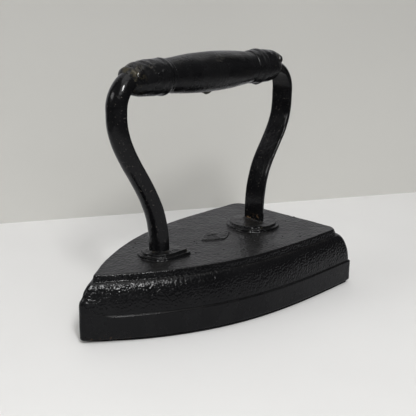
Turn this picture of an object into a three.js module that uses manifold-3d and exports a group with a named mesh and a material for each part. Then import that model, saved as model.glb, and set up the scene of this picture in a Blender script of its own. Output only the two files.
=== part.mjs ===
// A small solid flat iron, heated on a stove: a cast body, two half-round bars and a hollow round grip.
// Millimetres, +Z up. The nose points to +X, the heel is square to X, and the sole lies on z = 0.
// The origin is under the middle of the body's length and width.

import * as THREE from 'three';
import * as BufferGeometryUtils from 'three/addons/utils/BufferGeometryUtils.js';
import Module from 'manifold-3d';

const wasm = await Module();
wasm.setup();

// ---- Driving dimensions ----------------------------------------------------------------------

const gap = 0.3;                     // clearance between two pieces that meet
const overrun = 1;                   // how far a cutter runs past the face that it opens

const body = {
  length: 150,
  heelWidth: 80.2,
  wallTop: 12.5,                     // top of the upright wall, and foot of the rounded shoulder
  topHeight: 30.5,                   // the flat top face
  noseAngle: THREE.MathUtils.degToRad(38.8),
  noseReach: 67,                     // how long the side keeps its direction at the nose
  heelAngle: THREE.MathUtils.degToRad(1.4),
  heelReach: 61,                     // and at the heel
  noseHalfWidth: 0.9,
  sharpestHalfWidth: 0.25,           // no corner of the nose is drawn sharper than this
  heelCorner: 1.6,                   // radius of the upright corners of the heel
};

const soleEdge = { height: 1.8, inset: 1.0, noseSetback: 5 };

const shoulder = {
  ledge: 0.35,                       // small step where the shoulder stands on the wall
  roundInset: 4.35,                  // the round runs in by this much
  roundTop: 27.2,                    // and up to here, where the rim starts
  rimRiser: 28.9,
  rimInset: 5.3,
  topInset: 6.8,
  heelStretch: 8.0 / 6.8,            // the heel slopes in a little more than the sides
  topCorner: 6,
};

const pads = {
  top: 33.1,                         // both arms stand on pads cast on the top face
  draft: 1.6,                        // how far a pad spreads towards its foot
  front: { heelX: 17.2, middleX: 26.5, noseX: 36.3, halfWidth: 8.9 },
  rear: { x: -40.5, radius: 12.3 },
};

const mark = { x: -11.5, length: 21, width: 13, height: 0.7 };

const frontBar = {
  halfWidth: 5.5, thickness: 6.3,
  footX: 25.9, footTop: 34.9, footReach: 30.2,
  topX: 50.7, topZ: 99.1, topReach: 20.3,
  bendZ: 101.4, bendEndX: 39, tenonZ: 113.2, tenonX: 31,
};

const rearBar = {
  halfWidth: 6, thickness: 4.8,
  footX: -40.3, footTop: 39.9, footReach: 31.8,
  topX: -60.1, topZ: 95.9, topReach: 22.3,
  bendZ: 100.7, bendEndX: -49.1, tenonZ: 111.9, tenonX: -41,
};

const tang = { bottom: 14, headHeight: 4, headSpread: 2.5 };   // the cast-in foot of each bar

const grip = {
  z: 113.7,
  barrelFront: 23, barrelRear: -32.7, widestX: -4.2,
  widest: 9.45, barrelEnd: 7.7, wall: 2.1,
  spigotLength: 4,
};

const seam = { slot: 1.6, dropX: -3.5, dropSink: 0.2, dropRadii: [2.2, 0.7, 1.3] };

const frontFerrule = { seat: 23.3, ringStart: 25.8, ringEnd: 28.3, tip: 46.2, tipRadius: 5.4 };
const rearFerrule = { seat: -33, ringStart: -37.6, ringEnd: -39.9, tip: -52, tipRadius: 5.9 };

const frontBraze = { x: 45.4, z: 115.2, radii: [2.9, 6.2, 4.6] };
const rearBraze = { x: -51.3, z: 116.2, radii: [3.2, 6.7, 4.5] };

const pin = { radius: 1.3, frontX: 34, rearX: -45.2, ferruleRadius: 8.1, proud: 0.2, heightInBar: 0.4 };

const roundSteps = 32;               // facets round each turned piece

// ---- Materials -------------------------------------------------------------------------------

const finish = (name, colour, roughness, metalness) =>
  new THREE.MeshStandardMaterial({ name, color: colour, roughness, metalness });

const castPaint = finish('black paint on cast iron', 0x17171a, 0.5, 0.2);
const barPaint = finish('black paint on wrought iron', 0x121215, 0.32, 0.2);
const gripPaint = finish('black paint on the grip', 0x141417, 0.38, 0.2);
const brazing = finish('painted brazing metal', 0x2b2824, 0.45, 0.5);

// ---- Making solids ---------------------------------------------------------------------------

function toSolid(geometry) {
  const bare = geometry.clone();
  bare.deleteAttribute('normal');
  bare.deleteAttribute('uv');
  const merged = BufferGeometryUtils.mergeVertices(bare, 1e-4);
  return new wasm.Manifold(new wasm.Mesh({
    numProp: 3,
    vertProperties: new Float32Array(merged.attributes.position.array),
    triVerts: new Uint32Array(merged.index.array),
  }));
}

function toGeometry(solid) {
  const mesh = solid.getMesh();
  const geometry = new THREE.BufferGeometry();
  geometry.setAttribute('position', new THREE.BufferAttribute(new Float32Array(mesh.vertProperties), 3));
  geometry.setIndex(new THREE.BufferAttribute(new Uint32Array(mesh.triVerts), 1));
  geometry.computeVertexNormals();
  return geometry;
}

// A closed skin through rings of points that all have the same count and run anticlockwise.
function loft(rings) {
  const count = rings[0].points.length;
  const positions = [];
  const triangles = [];
  for (const ring of rings) {
    for (const point of ring.points) positions.push(point.x, point.y, ring.z);
  }
  for (let level = 0; level < rings.length - 1; level++) {
    for (let i = 0; i < count; i++) {
      const a = level * count + i;
      const b = level * count + (i + 1) % count;
      triangles.push(a, b, b + count, a, b + count, a + count);
    }
  }
  const last = (rings.length - 1) * count;
  for (let i = 1; i < count - 1; i++) {
    triangles.push(0, i + 1, i);
    triangles.push(last, last + i, last + i + 1);
  }
  const geometry = new THREE.BufferGeometry();
  geometry.setAttribute('position', new THREE.Float32BufferAttribute(positions, 3));
  geometry.setIndex(triangles);
  return geometry;
}

// A turned piece on the grip's axis, from a closed outline of [place along X, radius].
function turned(outline) {
  const points = outline.map(([x, radius]) => new THREE.Vector2(radius, x));
  const geometry = new THREE.LatheGeometry(points, roundSteps);
  geometry.rotateZ(-Math.PI / 2);
  geometry.translate(0, 0, grip.z);
  return toSolid(geometry);
}

// ---- The cast body ---------------------------------------------------------------------------

// The side of the body from nose to heel, as seen from above.
function sideCurve(tipX, tipHalfWidth) {
  const heelX = -body.length / 2;
  return new THREE.CubicBezierCurve(
    new THREE.Vector2(tipX, tipHalfWidth),
    new THREE.Vector2(tipX - body.noseReach * Math.cos(body.noseAngle),
      tipHalfWidth + body.noseReach * Math.sin(body.noseAngle)),
    new THREE.Vector2(heelX + body.heelReach * Math.cos(body.heelAngle),
      body.heelWidth / 2 + body.heelReach * Math.sin(body.heelAngle)),
    new THREE.Vector2(heelX, body.heelWidth / 2),
  );
}

// A closed plan outline: the side moved in by inset, a round heel corner and a straight heel.
function planOutline(side, inset, heelInset, corner) {
  const sideSteps = 22;
  const cornerSteps = 5;
  const heelX = -body.length / 2 + heelInset;
  const moved = (t) => {
    const tangent = side.getTangent(t);
    return side.getPoint(t).add(new THREE.Vector2(-tangent.y, tangent.x).multiplyScalar(inset));
  };
  const find = (passed) => {
    let low = 0;
    let high = 1;
    for (let i = 0; i < 40; i++) {
      const middle = (low + high) / 2;
      if (passed(moved(middle))) high = middle; else low = middle;
    }
    return high;
  };
  const start = find((point) => point.y > 0);
  const end = find((point) => point.x < heelX + corner);
  const half = [];
  for (let i = 0; i <= sideSteps; i++) {
    half.push(moved(start + (end - start) * i / sideSteps));
  }
  const last = half[half.length - 1];
  for (let i = 1; i <= cornerSteps; i++) {
    const angle = Math.PI / 2 * (1 + i / cornerSteps);
    half.push(new THREE.Vector2(last.x + corner * Math.cos(angle),
      last.y - corner + corner * Math.sin(angle)));
  }
  half[0].y = Math.max(half[0].y, body.sharpestHalfWidth);
  const mirrored = half.map((point) => new THREE.Vector2(point.x, -point.y)).reverse();
  return [...half, ...mirrored];
}

// The upright wall, with the worn edge under it that sets the sole back.
function wallBlock() {
  const side = sideCurve(body.length / 2, body.noseHalfWidth);
  const wall = planOutline(side, 0, 0, body.heelCorner);
  const soleSide = sideCurve(body.length / 2 - soleEdge.noseSetback, body.noseHalfWidth);
  const sole = planOutline(soleSide, soleEdge.inset, soleEdge.inset, body.heelCorner);
  return toSolid(loft([
    { points: sole, z: 0 },
    { points: wall, z: soleEdge.height },
    { points: wall, z: body.topHeight + overrun },
  ]));
}

// The round shoulder and the rim of the top face, drawn to a sharp nose that the wall block trims.
function shoulderBlock() {
  const tip = body.length / 2 + body.noseHalfWidth / Math.tan(body.noseAngle);
  const side = sideCurve(tip, 0);
  const steps = 7;
  const ledgeTop = body.wallTop + 0.1;
  const rings = [];
  const ring = (inset, z, corner) => rings.push({
    points: planOutline(side, inset, inset * shoulder.heelStretch, corner), z,
  });
  const cornerAt = (inset) => THREE.MathUtils.lerp(body.heelCorner, shoulder.topCorner,
    inset / shoulder.topInset);
  ring(-overrun, -overrun, body.heelCorner + overrun);
  ring(-overrun, body.wallTop, body.heelCorner + overrun);
  for (let i = 0; i <= steps; i++) {
    const angle = Math.PI / 2 * i / steps;
    const inset = shoulder.ledge + shoulder.roundInset * (1 - Math.cos(angle));
    const z = THREE.MathUtils.lerp(ledgeTop, shoulder.roundTop, Math.sin(angle));
    ring(inset, z, cornerAt(inset));
  }
  ring(shoulder.rimInset, shoulder.rimRiser, cornerAt(shoulder.rimInset));
  ring(shoulder.topInset, body.topHeight, shoulder.topCorner);
  return toSolid(loft(rings));
}

function padOutline(shape) {
  const height = pads.top - body.topHeight;
  const geometry = new THREE.ExtrudeGeometry(shape, {
    depth: overrun, curveSegments: 16,
    bevelEnabled: true, bevelThickness: height, bevelSize: pads.draft, bevelSegments: 2,
    bevelOffset: -pads.draft,
  });
  geometry.translate(0, 0, body.topHeight - overrun);
  return toSolid(geometry);
}

function frontPad() {
  const { heelX, middleX, noseX, halfWidth } = pads.front;
  const wide = halfWidth + pads.draft;
  const shape = new THREE.Shape();
  shape.moveTo(heelX - pads.draft, -wide);
  shape.lineTo(middleX, -wide);
  shape.absellipse(middleX, 0, noseX - middleX + pads.draft, wide, -Math.PI / 2, Math.PI / 2, false);
  shape.lineTo(heelX - pads.draft, wide);
  shape.closePath();
  return padOutline(shape);
}

function rearPad() {
  const shape = new THREE.Shape();
  shape.absarc(pads.rear.x, 0, pads.rear.radius + pads.draft, 0, 2 * Math.PI, false);
  return padOutline(shape);
}

// A plain raised lozenge cast in the middle of the top face.
function castMark() {
  const shape = new THREE.Shape();
  shape.moveTo(mark.x + mark.length / 2, 0);
  shape.lineTo(mark.x, mark.width / 2);
  shape.lineTo(mark.x - mark.length / 2, 0);
  shape.lineTo(mark.x, -mark.width / 2);
  shape.closePath();
  const geometry = new THREE.ExtrudeGeometry(shape, { depth: mark.height + overrun, bevelEnabled: false });
  geometry.translate(0, 0, body.topHeight - overrun);
  return toSolid(geometry);
}

// ---- The half-round bars ---------------------------------------------------------------------

// The section has its flat on the path; side is +1 where the round lies on the path's outer side.
function barSection(bar, side, clearance) {
  const halfWidth = bar.halfWidth + clearance;
  const thickness = bar.thickness + clearance;
  const shape = new THREE.Shape();
  shape.moveTo(-halfWidth, -clearance * side);
  shape.lineTo(halfWidth, -clearance * side);
  shape.absellipse(0, 0, halfWidth, thickness, 0, Math.PI * side, side < 0);
  shape.closePath();
  return shape;
}

// The flat's path: up out of the casting, out along an S, round the top bend and into the ferrule.
function barPath(bar, clearance) {
  const point = (x, z) => new THREE.Vector3(x, 0, z);
  const arcHandle = 4 / 3 * (Math.SQRT2 - 1);
  const inward = Math.sign(bar.tenonX - bar.topX);
  const bendWidth = bar.bendEndX - bar.topX;
  const bendHeight = bar.tenonZ - bar.bendZ;
  const path = new THREE.CurvePath();
  path.add(new THREE.LineCurve3(point(bar.footX, tang.bottom - clearance), point(bar.footX, bar.footTop)));
  path.add(new THREE.CubicBezierCurve3(
    point(bar.footX, bar.footTop), point(bar.footX, bar.footTop + bar.footReach),
    point(bar.topX, bar.topZ - bar.topReach), point(bar.topX, bar.topZ)));
  path.add(new THREE.LineCurve3(point(bar.topX, bar.topZ), point(bar.topX, bar.bendZ)));
  path.add(new THREE.CubicBezierCurve3(
    point(bar.topX, bar.bendZ), point(bar.topX, bar.bendZ + arcHandle * bendHeight),
    point(bar.bendEndX - arcHandle * bendWidth, bar.tenonZ), point(bar.bendEndX, bar.tenonZ)));
  path.add(new THREE.LineCurve3(
    point(bar.bendEndX, bar.tenonZ), point(bar.tenonX + inward * clearance, bar.tenonZ)));
  return path;
}

function barSolid(bar, clearance = 0) {
  const side = Math.sign(bar.topX - bar.footX);
  const geometry = new THREE.ExtrudeGeometry(barSection(bar, side, clearance), {
    steps: 38, curveSegments: 8, bevelEnabled: false, extrudePath: barPath(bar, clearance),
  });
  return toSolid(geometry).add(tangHead(bar, side, clearance));
}

// The upset head at the foot of a bar, which locks it in the casting.
function tangHead(bar, side, clearance) {
  const spread = tang.headSpread + clearance;
  const geometry = new THREE.BoxGeometry(
    bar.thickness + 2 * spread, 2 * (bar.halfWidth + spread), tang.headHeight + 2 * clearance);
  geometry.translate(bar.footX + side * bar.thickness / 2, 0, tang.bottom + tang.headHeight / 2);
  return toSolid(geometry);
}

// ---- The grip --------------------------------------------------------------------------------

function barrelRadius(x) {
  const end = x > grip.widestX ? grip.barrelFront : grip.barrelRear;
  const away = (x - grip.widestX) / (end - grip.widestX);
  return grip.widest - (grip.widest - grip.barrelEnd) * away ** 2;
}

// The tube, widest near its middle, as a closed wall.
function barrelShell() {
  const steps = 10;
  const outer = [];
  for (let i = 0; i <= steps; i++) {
    const x = THREE.MathUtils.lerp(grip.barrelRear, grip.barrelFront, i / steps);
    outer.push([x, barrelRadius(x)]);
  }
  const inner = outer.map(([x, radius]) => [x, radius - grip.wall]).reverse();
  return turned([...outer, ...inner, outer[0]]);
}

// A thin upright slab under the grip, where the rolled tube's edges meet.
function seamSlab(width) {
  const geometry = new THREE.BoxGeometry(body.length, width, 2 * grip.widest);
  geometry.translate(0, 0, grip.z - grip.widest);
  return toSolid(geometry);
}

function gripBarrel() {
  return barrelShell().subtract(seamSlab(seam.slot));
}

// The brazing metal that fills the tube's seam, with one drop left hanging under the middle.
function gripSeam() {
  const drop = new THREE.SphereGeometry(1, 14, 10);
  drop.scale(...seam.dropRadii);
  drop.translate(seam.dropX, 0, grip.z - grip.widest + seam.dropSink);
  const strip = barrelShell().intersect(seamSlab(seam.slot - 2 * gap));
  return strip.add(toSolid(drop));
}

// A turned ferrule: spigot in the barrel, cove, ring, body and rounded tip, with the bar's socket.
function ferrule(place, bodyProfile, bar, pinX) {
  const sign = Math.sign(place.tip);
  const spigotRadius = grip.barrelEnd - grip.wall - gap;
  const spigotEnd = place.seat - sign * grip.spigotLength;
  const outline = [
    [spigotEnd, 0], [spigotEnd, spigotRadius], [place.seat, spigotRadius],
    ...bodyProfile,
    [place.tip, place.tipRadius], [place.tip, 0],
  ];
  return turned(sign > 0 ? outline : outline.reverse())
    .subtract(barSolid(bar, gap))
    .subtract(pinSolid(pinX, bar, gap));
}

function frontFerruleSolid() {
  const { seat, ringStart, ringEnd } = frontFerrule;
  return ferrule(frontFerrule, [
    [seat, 7.7], [seat + 0.7, 7.9], [ringStart - 0.6, 7.85], [ringStart, 8.3], [ringStart + 1.2, 8.5],
    [ringEnd, 8.3], [32, 8.2], [37, 7.95], [41, 7.5], [43.6, 6.9], [45.4, 6.1],
  ], frontBar, pin.frontX);
}

function rearFerruleSolid() {
  const { seat, ringStart, ringEnd } = rearFerrule;
  return ferrule(rearFerrule, [
    [seat, 7.9], [seat - 1, 8.2], [ringStart + 0.8, 8.2], [ringStart, 8.7], [ringEnd, 8.7],
    [ringEnd - 0.7, 8.05], [ringEnd - 1.8, 8.1], [-44.5, 8.2], [-48, 7.9], [-50.4, 7.3],
  ], rearBar, pin.rearX);
}

// A cross pin through ferrule and bar, peened flush on both sides.
function pinSolid(x, bar, clearance = 0) {
  const z = bar.tenonZ + bar.thickness * pin.heightInBar;
  const flush = Math.sqrt(pin.ferruleRadius ** 2 - (z - grip.z) ** 2);
  const halfLength = clearance > 0 ? grip.widest : flush + pin.proud;
  const radius = pin.radius + clearance;
  const geometry = new THREE.CylinderGeometry(radius, radius, 2 * halfLength, 20);
  geometry.translate(x, 0, z);
  return toSolid(geometry);
}

// The arch of brazing metal run over a bar where it enters its ferrule.
function brazeArch(lump, place, bar) {
  const sign = Math.sign(place.tip);
  const geometry = new THREE.SphereGeometry(1, 20, 14);
  geometry.scale(...lump.radii);
  geometry.translate(lump.x, 0, lump.z);
  const keepOut = 2 * grip.widest;
  const behindTip = new THREE.BoxGeometry(keepOut, keepOut, keepOut);
  behindTip.translate(place.tip + sign * (gap - keepOut / 2), 0, grip.z);
  return toSolid(geometry).subtract(toSolid(behindTip)).subtract(barSolid(bar, gap));
}

// ---- The pieces ------------------------------------------------------------------------------

function bodyCasting() {
  return shoulderBlock().intersect(wallBlock())
    .add(frontPad()).add(rearPad()).add(castMark())
    .subtract(barSolid(frontBar, gap))
    .subtract(barSolid(rearBar, gap));
}

function armSolid(bar, pinX) {
  return barSolid(bar).subtract(pinSolid(pinX, bar, gap));
}

const iron = new THREE.Group();

function addPiece(name, solid, material) {
  const mesh = new THREE.Mesh(toGeometry(solid), material);
  mesh.name = name;
  iron.add(mesh);
}

addPiece('body_casting', bodyCasting(), castPaint);
addPiece('front_arm', armSolid(frontBar, pin.frontX), barPaint);
addPiece('rear_arm', armSolid(rearBar, pin.rearX), barPaint);
addPiece('grip_barrel', gripBarrel(), gripPaint);
addPiece('grip_seam', gripSeam(), brazing);
addPiece('front_ferrule', frontFerruleSolid(), gripPaint);
addPiece('rear_ferrule', rearFerruleSolid(), gripPaint);
addPiece('front_braze', brazeArch(frontBraze, frontFerrule, frontBar), brazing);
addPiece('rear_braze', brazeArch(rearBraze, rearFerrule, rearBar), brazing);
addPiece('front_pin', pinSolid(pin.frontX, frontBar), barPaint);
addPiece('rear_pin', pinSolid(pin.rearX, rearBar), barPaint);

export default iron;
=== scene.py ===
"""A cast iron clothes iron: a boat-shaped slug, two half-round bars and a turned hollow grip.

The slug points along +X, its sole lies on z = 0 and the grip runs along X above it.
Sizes are in millimetres and become metres when a mesh is made.
"""

import math

import bmesh
import bpy
import numpy as np
from mathutils import Matrix, Vector, geometry


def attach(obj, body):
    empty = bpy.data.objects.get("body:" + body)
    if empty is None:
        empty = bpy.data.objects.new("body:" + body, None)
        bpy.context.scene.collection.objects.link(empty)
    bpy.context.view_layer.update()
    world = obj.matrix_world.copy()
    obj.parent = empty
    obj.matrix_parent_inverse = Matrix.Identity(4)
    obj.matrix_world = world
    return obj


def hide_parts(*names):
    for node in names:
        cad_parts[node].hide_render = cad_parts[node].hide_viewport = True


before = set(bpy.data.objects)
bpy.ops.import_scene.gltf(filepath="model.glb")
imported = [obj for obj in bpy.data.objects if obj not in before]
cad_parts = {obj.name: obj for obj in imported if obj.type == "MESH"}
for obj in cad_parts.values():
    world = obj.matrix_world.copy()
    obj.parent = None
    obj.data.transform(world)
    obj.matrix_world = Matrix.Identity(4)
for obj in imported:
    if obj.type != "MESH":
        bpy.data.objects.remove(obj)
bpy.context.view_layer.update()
scene = bpy.context.scene

MM = 0.001
BODY = "root"

# ---- The slug -----------------------------------------------------------------------------------

HEEL_X = -75.0
HEEL_HALF = 40.1
NOSE_TIP = 76.12
NOSE_ANGLE = math.radians(38.8)
NOSE_REACH = 67.0
HEEL_ANGLE = math.radians(1.4)
HEEL_REACH = 61.0
HEEL_STRETCH = 1.176

SOLE_INSET = 1.1
SOLE_STEP = 1.6
SOLE_NOSE_EXTRA = 2.3
SOLE_NOSE_LENGTH = 16.0

LEDGE = 0.6
OVOLO_IN = 4.1
OVOLO_FOOT = 12.6
OVOLO_TOP = 27.2
WALL_AT = [0.0, 2.4, 4.0, 6.0, 8.0, 10.0, 12.0, 14.0, 17.0]
WALL_TOP = [18.6, 18.2, 17.3, 15.9, 14.8, 13.9, 13.2, 12.75, 12.5]
NOSE_SETBACK = 0.75
TOP_Z = 30.5

# ---- The pads and the cast lozenge on the top face ----------------------------------------------

PAD_RISE = 2.6
PAD_DRAFT = 1.6
PAD_FOOT = 1.25
FRONT_PAD = {"heel_x": 17.2, "middle_x": 26.5, "nose_x": 36.3, "half_width": 8.9}
REAR_PAD = {"x": -40.5, "radius": 12.3}
LOZENGE = {"x": -11.5, "length": 21.0, "width": 13.0, "rise": 0.6}

# ---- The bars -----------------------------------------------------------------------------------

FRONT_BAR = {
    "half_width": 5.5, "thickness": 6.3, "foot_x": 25.9, "foot_top": 34.9, "foot_reach": 30.2,
    "top_x": 50.7, "top_z": 99.1, "top_reach": 20.3, "bend_z": 101.4, "bend_end_x": 39.0,
    "tenon_z": 113.2, "tenon_x": 31.0, "turn": 0.0,
}
REAR_BAR = {
    "half_width": 6.0, "thickness": 4.8, "foot_x": -40.3, "foot_top": 39.9, "foot_reach": 31.8,
    "top_x": -60.1, "top_z": 95.9, "top_reach": 22.3, "bend_z": 100.7, "bend_end_x": -49.1,
    "tenon_z": 111.9, "tenon_x": -41.0, "turn": math.pi,
}
BAR_SUNK_Z = 29.0
ROUND_BEND = 0.5523

# ---- The grip -----------------------------------------------------------------------------------

GRIP_Z = 113.7
BARREL = {
    "front": 23.6, "rear": -33.3, "widest_x": -4.2, "widest": 9.45, "end": 7.7,
    "front_swell": 23.0, "rear_swell": -32.7,
}
SEAM = {"front": 22.9, "rear": -32.6, "half_width": 0.62, "deep": 0.24, "sunk": 0.55}
FRONT_CAP = [
    (23.3, 6.9), (23.35, 7.6), (23.7, 7.85), (24.4, 7.9), (25.1, 7.85), (25.6, 8.0), (26.1, 8.35),
    (27.0, 8.5), (27.9, 8.42), (28.4, 8.22), (29.2, 8.2), (32.0, 8.2), (37.0, 7.95), (41.0, 7.5),
    (43.6, 6.9), (45.4, 6.1), (46.15, 5.2), (46.2, 3.0),
]
REAR_CAP = [
    (-33.0, 7.2), (-33.1, 7.85), (-33.6, 8.1), (-35.0, 8.2), (-36.5, 8.15), (-37.2, 8.3),
    (-37.7, 8.65), (-38.6, 8.72), (-39.6, 8.7), (-40.1, 8.5), (-40.6, 8.05), (-41.4, 8.0),
    (-42.2, 8.15), (-44.5, 8.2), (-48.0, 7.9), (-50.4, 7.3), (-51.6, 6.5), (-52.0, 5.2), (-52.0, 3.0),
]
FRONT_BRAZE = {"centre": (45.4, 0.0, 115.2), "radii": (2.9, 6.2, 4.6)}
REAR_BRAZE = {"centre": (-51.3, 0.0, 116.2), "radii": (3.2, 6.7, 4.5)}
FRONT_PIN = {"x": 34.0, "z": 115.72}
REAR_PIN = {"x": -45.2, "z": 113.82}
PIN_RADIUS = 1.3
PIN_PROUD = 0.2
PIN_SEAT = 8.1
DROP = {"x": -3.5, "half_length": 2.6, "half_width": 1.1, "deep": 1.25}


# ---- Small tools --------------------------------------------------------------------------------


def smooth(x, low, high):
    """0 below low, 1 above high and a soft ramp between."""
    t = np.clip((np.asarray(x, float) - low) / (high - low), 0.0, 1.0)
    return t * t * (3.0 - 2.0 * t)


def lattice_noise(points, size, seed):
    """Smooth noise from -1 to 1 over points, with one bump about every size millimetres."""
    rng = np.random.default_rng(seed)
    table = rng.uniform(-1.0, 1.0, (32, 32, 32))
    p = np.asarray(points, float) / size + 7.3
    cell = np.floor(p).astype(int)
    f = p - cell
    f = f * f * (3.0 - 2.0 * f)
    total = np.zeros(len(p))
    for i in (0, 1):
        for j in (0, 1):
            for k in (0, 1):
                weight = (
                    (f[:, 0] if i else 1 - f[:, 0])
                    * (f[:, 1] if j else 1 - f[:, 1])
                    * (f[:, 2] if k else 1 - f[:, 2])
                )
                c = (cell + (i, j, k)) % 32
                total += weight * table[c[:, 0], c[:, 1], c[:, 2]]
    return total


def layered_noise(points, size, seed, layers=3):
    """Several octaves of lattice noise, each half the size and half the height of the last."""
    total = np.zeros(len(points))
    for n in range(layers):
        total += lattice_noise(points, size / 2**n, seed + n) / 2**n
    return total


def add_object(name, data):
    """An object linked to the scene."""
    obj = bpy.data.objects.new(name, data)
    scene.collection.objects.link(obj)
    return obj


def new_object(name, points, faces):
    """A smooth-shaded mesh object from points in millimetres."""
    mesh = bpy.data.meshes.new(name)
    mesh.from_pydata((np.asarray(points, float) * MM).tolist(), [], faces)
    mesh.update()
    mesh.shade_smooth()
    return add_object(name, mesh)


def face_outwards(obj):
    """Merges doubles and turns every face of a closed mesh outwards."""
    work = bmesh.new()
    work.from_mesh(obj.data)
    bmesh.ops.remove_doubles(work, verts=work.verts, dist=2e-6)
    bmesh.ops.recalc_face_normals(work, faces=work.faces)
    work.to_mesh(obj.data)
    work.free()
    obj.data.update()
    return obj


def vertex_table(obj):
    """Positions and normals of a mesh's vertices, positions in millimetres."""
    count = len(obj.data.vertices)
    points = np.zeros(count * 3)
    normals = np.zeros(count * 3)
    obj.data.vertices.foreach_get("co", points)
    obj.data.vertex_normals.foreach_get("vector", normals)
    return points.reshape(-1, 3) / MM, normals.reshape(-1, 3)


def push_along_normals(obj, amount):
    """Moves each vertex along its normal; amount(points, normals) gives millimetres."""
    points, normals = vertex_table(obj)
    moved = points + normals * amount(points, normals)[:, None]
    obj.data.vertices.foreach_set("co", (moved * MM).ravel())
    obj.data.update()


def loop_faces(first, second, count):
    """Quads between two rings of the same count, by their first indices."""
    quads = []
    for i in range(count):
        j = (i + 1) % count
        quads.append((first + i, first + j, second + j, second + i))
    return quads


def tube_faces(rings, around):
    """Faces of a tube of rings; its two end poles follow the last ring in the points."""
    faces = []
    for n in range(rings - 1):
        faces.extend(loop_faces(n * around, (n + 1) * around, around))
    last, pole = (rings - 1) * around, rings * around
    for i in range(around):
        j = (i + 1) % around
        faces.append((pole, j, i))
        faces.append((pole + 1, last + i, last + j))
    return faces


def bezier(a, b, c, d, count):
    """Points on the curve from a to d that sets out towards b and arrives from c."""
    t = np.linspace(0.0, 1.0, count)[:, None]
    return (1 - t) ** 3 * a + 3 * (1 - t) ** 2 * t * b + 3 * (1 - t) * t**2 * c + t**3 * d


def inward_along(line):
    """Unit vectors to the left of a line of 2-D points."""
    step = np.gradient(line, axis=0)
    step /= np.linalg.norm(step, axis=1)[:, None]
    return np.stack([-step[:, 1], step[:, 0]], axis=1)


def distance_along(line):
    """Distance travelled along a line of points."""
    return np.concatenate([[0.0], np.cumsum(np.linalg.norm(np.diff(line, axis=0), axis=1))])


# ---- Plan of the slug ---------------------------------------------------------------------------


def side_line():
    """The slug's side from nose to heel: points, inward normals and distance from the nose."""
    a = np.array([NOSE_TIP, 0.0])
    b = a + NOSE_REACH * np.array([-math.cos(NOSE_ANGLE), math.sin(NOSE_ANGLE)])
    d = np.array([HEEL_X, HEEL_HALF])
    c = d + HEEL_REACH * np.array([math.cos(HEEL_ANGLE), math.sin(HEEL_ANGLE)])
    points = bezier(a, b, c, d, 3001)
    return points, inward_along(points), distance_along(points)


SIDE_POINTS, SIDE_INWARD, SIDE_TRAVEL = side_line()
NOSE_STEPS = 9
SIDE_STEPS = 236
CORNER_STEPS = 12
HEEL_STEPS = 34


def first_crossing(values):
    """Fractional index where values first rise through zero."""
    i = int(np.argmax(values >= 0.0))
    i = max(i, 1)
    return i - 1 + values[i - 1] / (values[i - 1] - values[i])


def at_index(table, index):
    """Rows of a table read at fractional indices."""
    whole = np.arange(len(table))
    if table.ndim == 1:
        return np.interp(index, whole, table)
    return np.stack([np.interp(index, whole, table[:, c]) for c in range(table.shape[1])], axis=-1)


def half_ring(inset, nose_radius, corner_radius, height):
    """Half of one ring round the slug, from nose to heel."""
    line = SIDE_POINTS + SIDE_INWARD * inset[:, None]
    inward = inward_along(line)
    start = first_crossing(line[:, 1] + nose_radius * inward[:, 1])
    heel_x = HEEL_X + HEEL_STRETCH * inset[-1]
    end = first_crossing(heel_x + corner_radius - line[:, 0] - corner_radius * inward[:, 0])
    rows = []

    touch, turn = at_index(line, start), at_index(inward, start)
    centre = touch + nose_radius * turn
    sweep = math.atan2(-turn[1], -turn[0])
    travel_start = float(at_index(SIDE_TRAVEL, start))
    for a in np.linspace(0.0, sweep, NOSE_STEPS, endpoint=False):
        x = centre[0] + nose_radius * math.cos(a)
        rows.append((x, nose_radius * math.sin(a), travel_start))

    spread = np.linspace(0.0, 1.0, SIDE_STEPS)
    spread = 0.55 * spread + 0.45 * spread**1.8
    stations = start + (end - start) * spread
    places = at_index(line, stations)
    travels = at_index(SIDE_TRAVEL, stations)
    rows.extend(zip(places[:, 0], places[:, 1], travels))

    touch, turn = at_index(line, end), at_index(inward, end)
    centre = touch + corner_radius * turn
    begin = math.atan2(-turn[1], -turn[0])
    for a in np.linspace(begin, math.pi, CORNER_STEPS)[1:]:
        x, y = centre + corner_radius * np.array([math.cos(a), math.sin(a)])
        rows.append((x, y, travels[-1]))

    corner_y = rows[-1][1]
    for y in np.linspace(corner_y, 0.0, HEEL_STEPS)[1:]:
        rows.append((heel_x, y, travels[-1]))
    rows = np.array(rows)
    z = np.interp(rows[:, 2], SIDE_TRAVEL, height)
    return np.column_stack([rows[:, 0], rows[:, 1], z])


def whole_ring(half):
    """A closed ring from one half, mirrored across the middle."""
    other = half[-2:0:-1] * np.array([1.0, -1.0, 1.0])
    return np.vstack([half, other])


# ---- Profile of the slug's side -----------------------------------------------------------------


def wall_top(travel):
    """Height where the wall meets the shoulder; it climbs round the nose."""
    return np.interp(travel, WALL_AT, WALL_TOP)


def ovolo(z):
    """How far the rounded shoulder has gone in at a height."""
    s = np.clip((z - OVOLO_FOOT) / (OVOLO_TOP - OVOLO_FOOT), 0.0, 1.0)
    return OVOLO_IN * (1.0 - np.sqrt(1.0 - s * s))


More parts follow.
